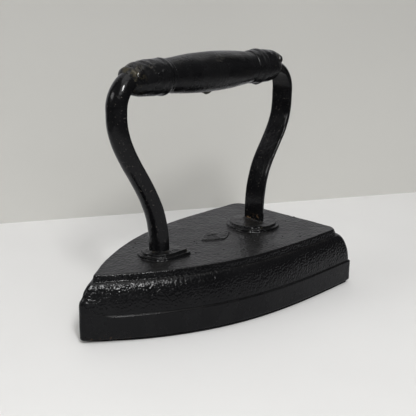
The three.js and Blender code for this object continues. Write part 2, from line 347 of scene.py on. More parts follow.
# Steps up the side: (inset, height) or, at the wall's top, (share of the ledge, drop below it).
SOLE_ROUND = [(0.5, 0.0), (0.22, 0.06), (0.06, 0.22), (0.0, 0.45), (0.0, 0.8), (0.0, 1.2)]
SOLE_LIP = [(0.93, 1.6), (0.6, 1.61), (0.25, 1.64)]
WALL_FOOT = [(0.34, 1.68), (0.2, 1.8), (0.08, 2.02), (0.02, 2.35)]
WALL_EDGE = [(0.01, 0.5), (0.06, 0.3), (0.14, 0.16), (0.26, 0.06), (0.4, 0.01)]
RIM_STEPS = [
    (0.16, 27.2), (0.26, 27.26), (0.33, 27.42), (0.38, 27.75), (0.45, 28.2), (0.53, 28.7),
    (0.62, 29.2), (0.70, 29.6), (0.80, 29.92), (0.94, 30.16), (1.12, 30.33), (1.36, 30.45),
    (1.75, 30.5),
]


def profile_levels():
    """(inset, height) along the side line for each ring, from the sole up to the rim."""
    s = SIDE_TRAVEL
    one = np.ones_like(s)
    sole = SOLE_INSET + SOLE_NOSE_EXTRA * np.exp(-((s / SOLE_NOSE_LENGTH) ** 2))
    top = wall_top(s)
    ledge = LEDGE * smooth(s, 3.0, 16.0) + 0.05
    levels = []
    for add, z in SOLE_ROUND:
        levels.append((sole + add, z * one))
    levels.append((sole - 0.02, (SOLE_STEP - 0.06) * one))
    for share, z in SOLE_LIP:
        levels.append((0.42 + (sole - 0.42) * share, z * one))
    for inset, z in WALL_FOOT:
        levels.append((inset * one, z * one))
    for share in np.linspace(0.0, 1.0, 15):
        levels.append((0.0 * one, 2.8 + (top - 0.62 - 2.8) * share))
    for inset, drop in WALL_EDGE:
        levels.append((inset / 0.65 * ledge, top - drop))
    levels.append((0.85 * ledge, top + 0.0))
    levels.append((ledge, top + 0.1))
    base = ovolo(np.maximum(top, OVOLO_FOOT))
    for angle in np.linspace(0.0, 1.0, 31)[1:]:
        # Even steps along the quarter round, starting from the wall's own height.
        foot = np.arcsin(np.clip((top - OVOLO_FOOT) / (OVOLO_TOP - OVOLO_FOOT), 0.0, 1.0))
        turn = foot + (0.5 * math.pi - 0.055 - foot) * angle
        z = OVOLO_FOOT + (OVOLO_TOP - OVOLO_FOOT) * np.sin(turn)
        back = NOSE_SETBACK * np.exp(-((s / 11.0) ** 2)) * smooth(z, 18.4, 21.5)
        levels.append((ledge + ovolo(z) - base + back, z + 0.1 * (1 - angle)))
    rim = levels[-1][0]
    for add, z in RIM_STEPS:
        levels.append((rim + add, z * one))
    return levels


def level_radii(z):
    """Nose and heel-corner radii at a height."""
    nose = float(np.interp(z, [0.0, 14.0, 27.0, TOP_Z], [1.9, 1.9, 1.35, 1.1]))
    corner = float(np.interp(z, [0.0, 12.0, 20.0, 27.2, TOP_Z], [1.5, 1.7, 3.0, 4.8, 6.0]))
    return nose, corner


# ---- Height of the top face ---------------------------------------------------------------------


def arc(centre, radii, start, end, count):
    """Points on part of an oval, between two angles in half turns."""
    angles = np.linspace(start * math.pi, end * math.pi, count)
    return [(centre[0] + radii[0] * math.cos(a), centre[1] + radii[1] * math.sin(a)) for a in angles]


def front_pad_line():
    """Outline of the front pad, half round towards the nose."""
    p = FRONT_PAD
    wide = p["half_width"] + PAD_DRAFT
    back = p["heel_x"] - PAD_DRAFT
    long = p["nose_x"] - p["middle_x"] + PAD_DRAFT
    corner = 2.2
    turn_x, turn_y = back + corner, wide - corner
    rows = arc((p["middle_x"], 0.0), (long, wide), -0.5, 0.5, 121)
    rows += [(x, wide) for x in np.linspace(p["middle_x"], turn_x, 24)[1:]]
    rows += arc((turn_x, turn_y), (corner, corner), 0.5, 1.0, 12)[1:]
    rows += [(back, y) for y in np.linspace(turn_y, corner - wide, 60)[1:]]
    rows += arc((turn_x, corner - wide), (corner, corner), 1.0, 1.5, 12)[1:]
    rows += [(x, -wide) for x in np.linspace(turn_x, p["middle_x"], 24)[1:-1]]
    return np.array(rows)


def rear_pad_line():
    """Outline of the round rear pad."""
    a = np.linspace(0.0, 2.0 * math.pi, 240, endpoint=False)
    r = REAR_PAD["radius"] + PAD_DRAFT
    return np.column_stack([REAR_PAD["x"] + r * np.cos(a), r * np.sin(a)])


def lozenge_line():
    """Outline of the lozenge, its points a little rounded."""
    a = np.linspace(0.0, 2.0 * math.pi, 160, endpoint=False)
    power = 0.86
    reach = (np.abs(np.cos(a)) ** (1 / power) + np.abs(np.sin(a)) ** (1 / power)) ** (-power)
    x = LOZENGE["x"] + 0.5 * LOZENGE["length"] * reach * np.cos(a)
    return np.column_stack([x, 0.5 * LOZENGE["width"] * reach * np.sin(a)])


def inside_by(points, outline):
    """Distance inside a closed outline, negative outside."""
    gap = np.full(len(points), 1e9)
    inside = np.zeros(len(points), bool)
    x, y = points[:, 0], points[:, 1]
    for i in range(len(outline)):
        a, b = outline[i], outline[(i + 1) % len(outline)]
        along = b - a
        share = ((x - a[0]) * along[0] + (y - a[1]) * along[1]) / (along @ along)
        share = np.clip(share, 0.0, 1.0)
        away = np.hypot(x - a[0] - share * along[0], y - a[1] - share * along[1])
        gap = np.minimum(gap, away)
        crosses = (a[1] > y) != (b[1] > y)
        if np.any(crosses):
            cut = a[0] + (y - a[1]) / (along[1] if along[1] else 1e-9) * along[0]
            inside ^= crosses & (x < cut)
    return np.where(inside, gap, -gap)


def foot_gap(points, bar):
    """Distance outside a bar's half-round foot, zero inside it."""
    side = 1.0 if bar["turn"] == 0.0 else -1.0
    out = (points[:, 0] - bar["foot_x"]) * side
    mid = out - 0.5 * bar["thickness"]
    dx = np.maximum(np.abs(mid) - 0.5 * bar["thickness"], 0.0)
    squeeze = np.sqrt(np.clip(1.0 - (np.clip(out, 0.0, bar["thickness"]) / bar["thickness"]) ** 2, 0.0, 1.0))
    dy = np.maximum(np.abs(points[:, 1]) - bar["half_width"] * squeeze, 0.0)
    return np.hypot(dx, dy)


# Drips and lumps of paint and bronze beside the feet: place, half width and rise.
DRIPS = [
    (-33.6, 10.6, 1.0, 0.8), (-35.0, 8.3, 1.4, 0.5), (-32.2, 8.9, 0.7, 0.45),
    (-36.6, 6.9, 1.1, 0.5), (22.0, 6.4, 1.2, 0.35), (33.9, 4.6, 0.9, 0.3), (-44.5, -7.5, 1.2, 0.5),
]
PAD_LINES = [front_pad_line(), rear_pad_line(), lozenge_line()]


def top_height(points):
    """Height of the top face over (x, y) points: pads, lozenge, foot fillets and cast swells."""
    spots = np.column_stack([points, np.full(len(points), TOP_Z)])
    front, rear, mark = (inside_by(points, line) for line in PAD_LINES)
    soft = 0.35 * layered_noise(spots, 5.0, 41)
    z = np.full(len(points), TOP_Z)
    for pad in (front, rear):
        away = pad + 0.2 * soft
        z += PAD_FOOT * smooth(away, -0.15, 0.25)
        z += (PAD_RISE - PAD_FOOT - 0.1) * smooth(away, PAD_DRAFT - 0.1, PAD_DRAFT + 0.3)
        z += 0.1 * smooth(pad, 2.2, 5.0)
        z += 0.10 * smooth(pad, -0.6, 0.4) * layered_noise(spots, 2.6, 45, 2)
    z += LOZENGE["rise"] * smooth(mark + 0.3 * soft, -0.2, 0.5)
    z += 0.6 * smooth(mark, 0.2, 1.4) * layered_noise(spots, 2.3, 47, 2)
    for bar in (FRONT_BAR, REAR_BAR):
        z += 0.75 * np.exp(-((foot_gap(points, bar) / 0.75) ** 2))
    for x, y, wide, rise in DRIPS:
        z += rise * np.exp(-(((points[:, 0] - x) ** 2 + (points[:, 1] - y) ** 2) / wide**2))
    z += 0.14 * layered_noise(spots, 16.0, 43, 2)
    return z


PAD_LOOPS = [
    -0.9, -0.6, -0.38, -0.24, -0.12, -0.02, 0.07, 0.16, 0.26, 0.4, 0.6, 0.9, 1.2, 1.38, 1.5, 1.6, 1.69,
    1.78, 1.87, 1.98, 2.16, 2.45,
]
MARK_LOOPS = [-0.9, -0.6, -0.3, 0.0, 0.3, 0.6, 0.9, 1.2, 1.5]


def top_points(rim):
    """Points over the top face: an even grid, and close loops along the raised outlines."""
    step, rim_gap, loop_gap = 0.66, 0.45, 0.3
    rows = []
    for j, x in enumerate(np.arange(HEEL_X, NOSE_TIP, step * 0.866)):
        for y in np.arange(-45.0, 45.0, step):
            rows.append((x, y + 0.5 * step * (j % 2)))
    grid = np.array(rows)
    grid = grid[inside_by(grid, rim[:, :2]) > rim_gap]
    loops = []
    for line, offsets in zip(PAD_LINES, (PAD_LOOPS, PAD_LOOPS, MARK_LOOPS)):
        away = inside_by(grid, line)
        grid = grid[(away < offsets[0] - loop_gap) | (away > offsets[-1] + loop_gap)]
        step_dir = np.roll(line, -1, 0) - np.roll(line, 1, 0)
        step_dir /= np.linalg.norm(step_dir, axis=1)[:, None]
        inward = np.stack([-step_dir[:, 1], step_dir[:, 0]], axis=1)
        for offset in offsets:
            moved = line + inward * offset
            loops.append(moved[np.abs(inside_by(moved, line) - offset) < 0.05])
    return np.vstack([grid] + loops)


def fill_flat(outline, inner):
    """Triangles filling a closed outline through inner points. Returns 2-D points and faces."""
    count = len(outline)
    points = [Vector(p) for p in outline] + [Vector(p) for p in inner]
    edges = [(i, (i + 1) % count) for i in range(count)]
    made = geometry.delaunay_2d_cdt(points, edges, [], 1, 1e-5)
    return np.array([(p.x, p.y) for p in made[0]]), [tuple(f) for f in made[2]], made[3]


def add_cap(points, faces, ring_start, ring, inner, height, upwards):
    """Closes one end of the slug with a filled face that shares the ring's vertices."""
    flat, triangles, origin = fill_flat(ring[:, :2], inner)
    index = {}
    extra = []
    fresh = [i for i, source in enumerate(origin) if not any(o < len(ring) for o in source)]
    heights = height(flat)
    base = sum(len(p) for p in points)
    for i, source in enumerate(origin):
        shared = [o for o in source if o < len(ring)]
        if shared:
            index[i] = ring_start + shared[0]
    for n, i in enumerate(fresh):
        index[i] = base + n
        extra.append((flat[i][0], flat[i][1], heights[i]))
    points.append(np.array(extra))
    for a, b, c in triangles:
        pa, pb, pc = flat[a], flat[b], flat[c]
        turn = (pb[0] - pa[0]) * (pc[1] - pa[1]) - (pb[1] - pa[1]) * (pc[0] - pa[0])
        if (turn > 0) == upwards:
            faces.append((index[a], index[b], index[c]))
        else:
            faces.append((index[a], index[c], index[b]))


# Blisters, pits and nicks in the casting's side: place, half width and rise.
SKIN_LUMPS = [
    (-13.0, 36.5, 22.0, 0.8, 0.22), (-21.0, 37.5, 20.5, 0.7, 0.2), (-45.0, 38.5, 19.5, 0.7, 0.26),
    (-39.5, 37.8, 23.0, 0.7, -0.3), (2.0, 37.6, 8.5, 0.7, -0.22), (46.0, 19.5, 22.0, 0.9, 0.22),
    (10.0, 34.0, 24.5, 0.9, -0.28), (11.6, 33.0, 25.3, 0.8, -0.24), (12.6, 34.4, 23.2, 0.7, -0.2),
    (29.0, 31.5, 12.2, 0.7, -0.25), (55.0, 17.5, 12.4, 0.8, -0.2), (-55.0, 39.2, 13.0, 0.8, -0.2),
    (-30.0, -37.0, 21.0, 0.9, 0.24), (15.0, -34.5, 18.0, 0.8, -0.26), (40.0, -25.0, 20.0, 0.8, 0.22),
    (-74.0, 12.0, 20.0, 0.9, 0.24), (-74.5, -20.0, 9.0, 1.0, -0.24), (-72.0, -8.0, 24.0, 0.8, 0.2),
]


def cast_surface(points, normals):
    """The skin of a rough sand casting, in millimetres along the normal."""
    z = points[:, 2]
    up = normals[:, 2]
    on_top = smooth(up, 0.75, 0.97) * smooth(z, 28.5, 30.2)
    shoulder = smooth(z, 13.0, 14.5) * (1.0 - on_top)
    wall = (1.0 - shoulder) * (1.0 - on_top) * smooth(z, 0.2, 2.2)
    peel = layered_noise(points, 2.7, 11, 2)
    fine = lattice_noise(points, 1.5, 21)
    broad = layered_noise(points, 22.0, 31, 2)
    push = 0.10 * broad * smooth(z, 0.5, 3.0)
    waves = layered_noise(points, 6.5, 17, 2)
    push = push + shoulder * (0.040 * peel + 0.032 * fine + 0.05 * waves)
    push = push + wall * (0.022 * peel + 0.014 * fine)
    push = push + on_top * (0.06 * peel + 0.06 * fine)
    nose_low = smooth(points[:, 0], 55.0, 68.0) * (1.0 - smooth(z, 6.0, 12.0)) * smooth(z, 0.3, 1.8)
    push = push + nose_low * 0.10 * layered_noise(points, 3.4, 61, 2)
    for x, y, z0, wide, rise in SKIN_LUMPS:
        away = (points[:, 0] - x) ** 2 + (points[:, 1] - y) ** 2 + (points[:, 2] - z0) ** 2
        push = push + rise * np.exp(-away / wide**2)
    return push - 0.06 * smooth(z, 1.0, 3.0)


def make_slug():
    """The whole cast slug as one closed mesh."""
    points, faces = [], []
    rings = []
    for inset, height in profile_levels():
        nose, corner = level_radii(float(height[-1]))
        rings.append(whole_ring(half_ring(inset, nose, corner, height)))
    count = len(rings[0])
    points.extend(rings)
    for n in range(len(rings) - 1):
        faces.extend(loop_faces(n * count, (n + 1) * count, count))
    rim = rings[-1]
    add_cap(points, faces, (len(rings) - 1) * count, rim, top_points(rim), top_height, True)
    sole = rings[0]
    rows = [(x, y) for x in np.arange(HEEL_X, NOSE_TIP, 3.0) for y in np.arange(-42.0, 42.0, 3.0)]
    inner = np.array(rows)
    inner = inner[inside_by(inner, sole[:, :2]) > 1.2]
    add_cap(points, faces, 0, sole, inner, lambda p: np.zeros(len(p)), False)
    slug = new_object("cast_slug", np.vstack(points), faces)
    push_along_normals(slug, cast_surface)
    return slug


# ---- Node trees for shapes ----------------------------------------------------------------------


FLOAT = "NodeSocketFloat"
VECTOR = "NodeSocketVector"
WHOLE = "NodeSocketInt"


class Nodes:
    """Short ways to add nodes to a tree."""

    def __init__(self, tree):
        self.tree = tree

    def feed(self, socket, source):
        """Links another socket into this one, or sets a plain value on it."""
        if isinstance(source, bpy.types.NodeSocket):
            self.tree.links.new(source, socket)
        else:
            socket.default_value = source

    def node(self, kind, links=None, **settings):
        made = self.tree.nodes.new(kind)
        for key, value in settings.items():
            setattr(made, key, value)
        for key, source in (links or {}).items():
            self.feed(made.inputs[key], source)
        return made

    def maths(self, operation, *values):
        return self.node("ShaderNodeMath", dict(enumerate(values)), operation=operation).outputs[0]

    def plus(self, a, b):
        return self.maths("ADD", a, b)

    def times(self, a, b):
        return self.maths("MULTIPLY", a, b)

    def split(self, vector):
        """The x, y and z of a vector."""
        return self.node("ShaderNodeSeparateXYZ", {0: vector}).outputs

    def noise(self, **inputs):
        """Cloudy noise from 0 to 1; a W input moves it to another seed."""
        settings = {"noise_dimensions": "4D"} if "W" in inputs else {}
        return self.node("ShaderNodeTexNoise", inputs, **settings).outputs[0]


class Tree(Nodes):
    """A geometry node tree with named inputs."""

    def __init__(self, name, inputs):
        super().__init__(bpy.data.node_groups.new(name, "GeometryNodeTree"))
        face = self.tree.interface
        face.new_socket("Geometry", in_out="OUTPUT", socket_type="NodeSocketGeometry")
        face.new_socket("Geometry", in_out="INPUT", socket_type="NodeSocketGeometry")
        self.keys = {}
        for label, kind, value in inputs:
            socket = face.new_socket(label, in_out="INPUT", socket_type=kind)
            socket.default_value = value
            self.keys[label] = socket.identifier
        self.enter = self.tree.nodes.new("NodeGroupInput")
        self.leave = self.tree.nodes.new("NodeGroupOutput")

    def given(self, label):
        return self.enter.outputs[label]

    def end(self, geometry_socket, material):
        real = self.node("GeometryNodeRealizeInstances", {"Geometry": geometry_socket})
        painted = self.node("GeometryNodeSetMaterial", {
            "Geometry": real.outputs[0], "Material": material,
        })
        self.tree.links.new(painted.outputs[0], self.leave.inputs[0])


def run_tree(obj, tree, values):
    """Runs a tree on obj and keeps the result as its plain mesh."""
    modifier = obj.modifiers.new("shape", "NODES")
    modifier.node_group = tree.tree
    for label, value in values.items():
        modifier[tree.keys[label]] = value
    deps = bpy.context.evaluated_depsgraph_get()
    made = bpy.data.meshes.new_from_object(obj.evaluated_get(deps))
    obj.modifiers.remove(modifier)
    obj.data = made
    made.shade_smooth()
    return obj


def wire_object(name, points):
    """An object that holds only a line of points."""
    mesh = bpy.data.meshes.new(name)
    edges = [(i, i + 1) for i in range(len(points) - 1)]
    mesh.from_pydata((np.asarray(points, float) * MM).tolist(), edges, [])
    return add_object(name, mesh)


def bar_tree(material):
    """Sweeps a half-round section with softened arrises along the line it is given."""
    t = Tree("half_round_bar", [
        ("Half width", FLOAT, 0.005),
        ("Thickness", FLOAT, 0.005),
        ("Arris", FLOAT, 0.00055),
        ("Turn", FLOAT, 0.0),
        ("Steps", WHOLE, 300),
        ("Waver", FLOAT, 0.0001),
    ])
    line = t.node("GeometryNodeMeshToCurve", {"Mesh": t.given("Geometry")})
    even = t.node("GeometryNodeResampleCurve", {"Curve": line.outputs[0], "Count": t.given("Steps")})
    tilt = t.node("GeometryNodeSetCurveTilt", {"Curve": even.outputs[0], "Tilt": t.given("Turn")})

    ring = t.node("GeometryNodeCurvePrimitiveCircle", {"Resolution": 88, "Radius": 1.0})
    up, across, _ = t.split(t.node("GeometryNodeInputPosition").outputs[0])
    round_up = t.maths("MAXIMUM", up, 0.0)
    low = t.maths("POWER", t.maths("MAXIMUM", t.times(up, -1.0), 0.0), 0.5)
    body = t.times(round_up, t.maths("SUBTRACT", t.given("Thickness"), t.given("Arris")))
    under = t.times(low, t.given("Arris"))
    out = t.plus(t.maths("SUBTRACT", body, under), t.given("Arris"))
    wide_low = t.maths("POWER", t.maths("ABSOLUTE", across), 0.25)
    wide_low = t.times(wide_low, t.maths("SIGN", across))
    is_low = t.maths("LESS_THAN", up, 0.0)
    pick = t.plus(t.times(wide_low, is_low),
                   t.times(across, t.maths("SUBTRACT", 1.0, is_low)))
    side = t.times(pick, t.given("Half width"))
    spot = t.node("ShaderNodeCombineXYZ", {"X": out, "Y": side})
    section = t.node("GeometryNodeSetPosition", {"Geometry": ring.outputs[0], "Position": spot.outputs[0]})

    swept = t.node("GeometryNodeCurveToMesh", {
        "Curve": tilt.outputs[0], "Profile Curve": section.outputs[0], "Fill Caps": True,
    })
    centred = t.maths("SUBTRACT", t.noise(Scale=95.0, Detail=2.0, Roughness=0.45), 0.5)
    push = t.times(centred, t.given("Waver"))
    normal = t.node("GeometryNodeInputNormal")
    move = t.node("ShaderNodeVectorMath", {0: normal.outputs[0], "Scale": push}, operation="SCALE")
    wavy = t.node("GeometryNodeSetPosition", {"Geometry": swept.outputs[0], "Offset": move.outputs[0]})
    t.end(wavy.outputs[0], material)
    return t


def bar_line(bar):
    """The middle line of a bar's flat face, from inside the pad up to the end of its tenon."""
    side = 1.0 if bar["turn"] == 0.0 else -1.0
    foot_x, foot_top, top_x, top_z = bar["foot_x"], bar["foot_top"], bar["top_x"], bar["top_z"]
    bend_z, bend_end, tenon_z = bar["bend_z"], bar["bend_end_x"], bar["tenon_z"]
    foot = [(foot_x, BAR_SUNK_Z + (foot_top - BAR_SUNK_Z) * s) for s in np.linspace(0, 1, 12)[:-1]]
    a, b = np.array((foot_x, foot_top)), np.array((foot_x, foot_top + bar["foot_reach"]))
    d, c = np.array((top_x, top_z)), np.array((top_x, top_z - bar["top_reach"]))
    rise = bezier(a, b, c, d, 120)
    e, h = np.array((top_x, bend_z)), np.array((bend_end, tenon_z))
    f = e + np.array((0.0, (tenon_z - bend_z) * ROUND_BEND))
    g = h + np.array((side * abs(top_x - bend_end) * ROUND_BEND, 0.0))
    bend = bezier(e, f, g, h, 60)
    tenon = [(bend_end + (bar["tenon_x"] - bend_end) * s, tenon_z) for s in np.linspace(0, 1, 14)[1:]]
    rows = np.vstack([foot, rise, bend, tenon])
    return np.column_stack([rows[:, 0], np.zeros(len(rows)), rows[:, 1]])


def make_bar(name, bar, material):
    obj = wire_object(name, bar_line(bar))
    run_tree(obj, bar_tree(material), {
        "Half width": bar["half_width"] * MM, "Thickness": bar["thickness"] * MM,
        "Turn": bar["turn"], "Steps": 330, "Waver": 0.42 * MM,
    })
    return face_outwards(obj)


# ---- Turned pieces ------------------------------------------------------------------------------


def turned(name, line, around, bulge=None):
    """A closed turned piece about the grip's axis from (x, radius) points."""
    line = np.asarray(line, float)
    if line[0, 0] < line[-1, 0]:
        line = line[::-1]
    angles = np.linspace(0.0, 2.0 * math.pi, around, endpoint=False)
    points = []
    for x, r in line:
        ring = np.column_stack([np.full(around, x), r * np.cos(angles), r * np.sin(angles)])
        points.append(ring)
    points = np.vstack(points)
    if bulge is not None:
        radius = np.hypot(points[:, 1], points[:, 2])
        grown = radius + bulge(points, np.arctan2(points[:, 2], points[:, 1]))
        points[:, 1:] *= (grown / np.maximum(radius, 1e-6))[:, None]
    points[:, 2] += GRIP_Z
    ends = np.array([(line[0, 0], 0.0, GRIP_Z), (line[-1, 0], 0.0, GRIP_Z)])
    points = np.vstack([points, ends])
    return face_outwards(new_object(name, points, tube_faces(len(line), around)))


def refine(line, spacing):
    """Rounds a coarse profile and fills it with close points."""
    line = np.asarray(line, float)
    for _ in range(2):
        cut = [line[0]]
        for a, b in zip(line[:-1], line[1:]):
            cut.extend([0.75 * a + 0.25 * b, 0.25 * a + 0.75 * b])
        cut.append(line[-1])
        line = np.array(cut)
    travel = distance_along(line)
    at = np.linspace(0.0, travel[-1], int(travel[-1] / spacing) + 2)
    return np.column_stack([np.interp(at, travel, line[:, 0]), np.interp(at, travel, line[:, 1])])


def barrel_radius(x):
    """The barrel swells from its ends to its widest, a shallow arch on each side."""
    b = BARREL
    middle = b["widest_x"]
    reach = np.where(x > middle, b["front_swell"] - middle, middle - b["rear_swell"])
    share = np.clip(np.abs((x - middle) / reach), 0, 1)
    return b["end"] + (b["widest"] - b["end"]) * (1.0 - share**2)


def with_lumps(out, points, angles, lumps):
    """Adds soft lumps to a turned piece: x, angle in degrees, half length, half width and rise."""
    for x, angle, long, wide, rise in lumps:
        turn = (angles - math.radians(angle) + math.pi) % (2.0 * math.pi) - math.pi
        arc = turn * np.hypot(points[:, 1], points[:, 2])
        out = out + rise * np.exp(-(((points[:, 0] - x) / long) ** 2) - (arc / wide) ** 2)
    return out


# The last row is the shallow groove of the seam, which runs the whole length underneath.
BARREL_DENTS = [
    (6.0, 62.0, 5.0, 3.0, -0.22), (-10.0, 35.0, 6.0, 3.5, -0.2), (-22.0, 55.0, 4.0, 2.5, -0.18),
    (14.0, 15.0, 4.0, 3.0, -0.15), (-18.0, -10.0, 5.0, 3.0, -0.12), (0.0, 120.0, 7.0, 4.0, -0.18),
    (-25.0, -35.0, 3.0, 1.6, 0.16), (19.5, 30.0, 1.6, 4.0, -0.1), (-28.5, 80.0, 1.2, 5.0, -0.12),
    (0.0, -90.0, 500.0, 0.8, -0.22),
]
FRONT_CAP_LUMPS = [
    (31.6, 24.0, 0.9, 0.9, 0.35), (37.5, 66.0, 1.6, 2.0, 0.3), (40.5, 48.0, 1.5, 1.5, 0.28),
    (36.0, 40.0, 1.1, 1.3, 0.25), (42.6, 70.0, 1.3, 1.6, 0.22), (39.0, 85.0, 1.7, 1.4, 0.22),
    (35.0, -30.0, 2.0, 2.4, -0.2), (30.2, -75.0, 1.5, 3.0, -0.15), (42.0, 10.0, 1.6, 2.0, -0.2),
    (44.3, 30.0, 1.2, 1.6, 0.18), (33.6, 80.0, 1.0, 1.4, 0.25), (28.6, 60.0, 0.8, 2.0, -0.12),
]
REAR_CAP_LUMPS = [
    (-39.0, -88.0, 1.8, 2.2, 0.42), (-46.0, 70.0, 1.6, 2.0, -0.2), (-49.5, 25.0, 1.4, 2.4, -0.28),
    (-44.0, 20.0, 1.3, 1.6, 0.2), (-36.0, -60.0, 1.5, 1.8, 0.22), (-47.0, -40.0, 2.0, 2.0, -0.2),
]


def barrel_bulge(points, angles):
    """Dents, dings and the shallow groove of the seam under the barrel."""
    out = 0.10 * layered_noise(points, 9.0, 71, 2) + 0.022 * lattice_noise(points, 1.6, 77)
    return with_lumps(out, points, angles, BARREL_DENTS)


def front_cap_bulge(points, angles):
    """Lumpy hand-made front cap, roughest on its upper near side."""
    out = 0.16 * layered_noise(points, 6.0, 81, 2)
    x = points[:, 0]
    rough = smooth(x, 33.0, 36.0)
    patch = smooth(np.cos(angles - math.radians(62.0)), 0.15, 0.75)
    out = out + rough * (0.06 + 0.13 * patch) * layered_noise(points, 1.9, 83, 2)
    out = with_lumps(out, points, angles, FRONT_CAP_LUMPS)
    return out * smooth(x, 23.2, 24.6)


def rear_cap_bulge(points, angles):
    """Rear cap, faceted by hand filing past its ring."""
    x = points[:, 0]
    filed = 1.0 - smooth(x, -43.5, -41.5)
    flats = 0.16 * np.cos(5.0 * angles + 0.6)
    marks = 0.05 * layered_noise(points, 1.8, 93, 2)
    out = 0.10 * layered_noise(points, 5.0, 91, 2) + filed * (flats + marks)
    out = with_lumps(out, points, angles, REAR_CAP_LUMPS)
    return out * (1.0 - smooth(x, -34.0, -33.0))


def make_barrel():
    x = np.linspace(BARREL["front"], BARREL["rear"], 190)
    line = np.column_stack([x, barrel_radius(x)])
    return turned("grip_barrel_shell", line, 240, barrel_bulge)


def make_seam():
    """The closed seam under the barrel: a narrow bead with one hanging drop."""
    rows = np.linspace(SEAM["front"], SEAM["rear"], 220)
    around = 20
    points = []
    for n, x in enumerate(rows):
        fall = math.exp(-(((x - DROP["x"]) / DROP["half_length"]) ** 2))
        end = min(1.0, 0.25 + 3.0 * min(n, len(rows) - 1 - n) / len(rows) * 8.0)
        wide = (SEAM["half_width"] + 0.45 * fall) * end + 0.05 * math.sin(1.7 * x) * end
        deep = SEAM["deep"] + DROP["deep"] * fall + 0.05 * math.sin(2.3 * x + 1.0)
        base = GRIP_Z - float(barrel_radius(x)) + SEAM["sunk"]
        for a in np.linspace(0.0, 2.0 * math.pi, around, endpoint=False):
            down = math.sin(a)
            drop = (deep + 0.32) * max(down, 0.0) + 0.35 * min(down, 0.0)
            points.append((x, wide * math.cos(a), base - drop))
    points.append((rows[0], 0.0, points[0][2]))
    points.append((rows[-1], 0.0, points[(len(rows) - 1) * around][2]))
    return face_outwards(new_object("grip_seam_bead", np.array(points), tube_faces(len(rows), around)))


def make_braze(name, braze, seed):
    """A lump of brazing that fills between a bar and the end of its cap."""
    work = bmesh.new()
    bmesh.ops.create_icosphere(work, subdivisions=6, radius=1.0)
    directions = np.array([v.co[:] for v in work.verts])
    directions /= np.linalg.norm(directions, axis=1)[:, None]
    points = directions * np.array(braze["radii"]) + np.array(braze["centre"])
    swell = 0.30 * layered_noise(points, 3.4, seed, 2) + 0.10 * layered_noise(points, 1.1, seed + 5, 2) - 0.25
    points = points + directions * swell[:, None]
    for v, p in zip(work.verts, points):
        v.co = Vector(p) * MM
    mesh = bpy.data.meshes.new(name)
    work.to_mesh(mesh)
    work.free()
    mesh.shade_smooth()
    return face_outwards(add_object(name, mesh))


def make_pin(name, pin, seed):
    """A cross pin with two low domed heads, hammered a little out of round."""
    seat = math.sqrt(PIN_SEAT**2 - (pin["z"] - GRIP_Z) ** 2)
    head = seat + PIN_PROUD
    line = []
    for a in np.linspace(0.0, 0.5 * math.pi, 14):
        line.append((head - 0.45 * (1.0 - math.cos(a)), PIN_RADIUS * math.sin(a)))
    half = line[1:]
    for y in np.linspace(head - 0.6, 0.3, 10):
        half.append((y, PIN_RADIUS * 0.96))
    whole = half + [(-y, r) for y, r in half[::-1]]
    around = 48
    points = []
    for y, r in whole:
        for a in np.linspace(0.0, 2.0 * math.pi, around, endpoint=False):
            grow = 1.0 + 0.04 * math.sin(3.0 * a + seed)
            points.append((pin["x"] + r * grow * math.cos(a), y, pin["z"] + r * grow * math.sin(a)))
    points.append((pin["x"], head, pin["z"]))
    points.append((pin["x"], -head, pin["z"]))
    return face_outwards(new_object(name, np.array(points), tube_faces(len(whole), around)))


# ---- Casting nibs scattered on the shoulder -----------------------------------------------------


def nib_tree(material):
    """Scatters small flattened grains of fused sand and paint over the mesh it is given."""
    t = Tree("casting_nibs", [
        ("Density", FLOAT, 9000.0),
        ("Smallest", FLOAT, 0.00016),
        ("Largest", FLOAT, 0.0005),
        ("Lowest", FLOAT, 0.013),
        ("Seed", WHOLE, 7),
    ])
    height = t.split(t.node("GeometryNodeInputPosition").outputs[0])[2]
    above = t.maths("GREATER_THAN", height, t.given("Lowest"))
    spots = t.node("GeometryNodeDistributePointsOnFaces", {
        "Mesh": t.given("Geometry"), "Selection": above,
        "Density": t.given("Density"), "Seed": t.given("Seed"),
    })
    grain = t.node("GeometryNodeMeshIcoSphere", {"Radius": 1.0, "Subdivisions": 2})
    size = t.node("FunctionNodeRandomValue", {"Seed": t.given("Seed")}, data_type="FLOAT")
    t.tree.links.new(t.given("Smallest"), size.inputs[2])
    t.tree.links.new(t.given("Largest"), size.inputs[3])
    flat = t.times(size.outputs[1], 0.55)
    scale = t.node("ShaderNodeCombineXYZ", {"X": size.outputs[1], "Y": size.outputs[1], "Z": flat})
    placed = t.node("GeometryNodeInstanceOnPoints", {
        "Points": spots.outputs[0], "Instance": grain.outputs[0],
        "Rotation": spots.outputs["Rotation"], "Scale": scale.outputs[0],
    })
    t.end(placed.outputs[0], material)
    return t


def make_nibs(slug, material):
    nibs = add_object("casting_nibs", slug.data.copy())
    return run_tree(nibs, nib_tree(material), {"Density": 7000.0, "Seed": 5})


# ---- Materials ----------------------------------------------------------------------------------


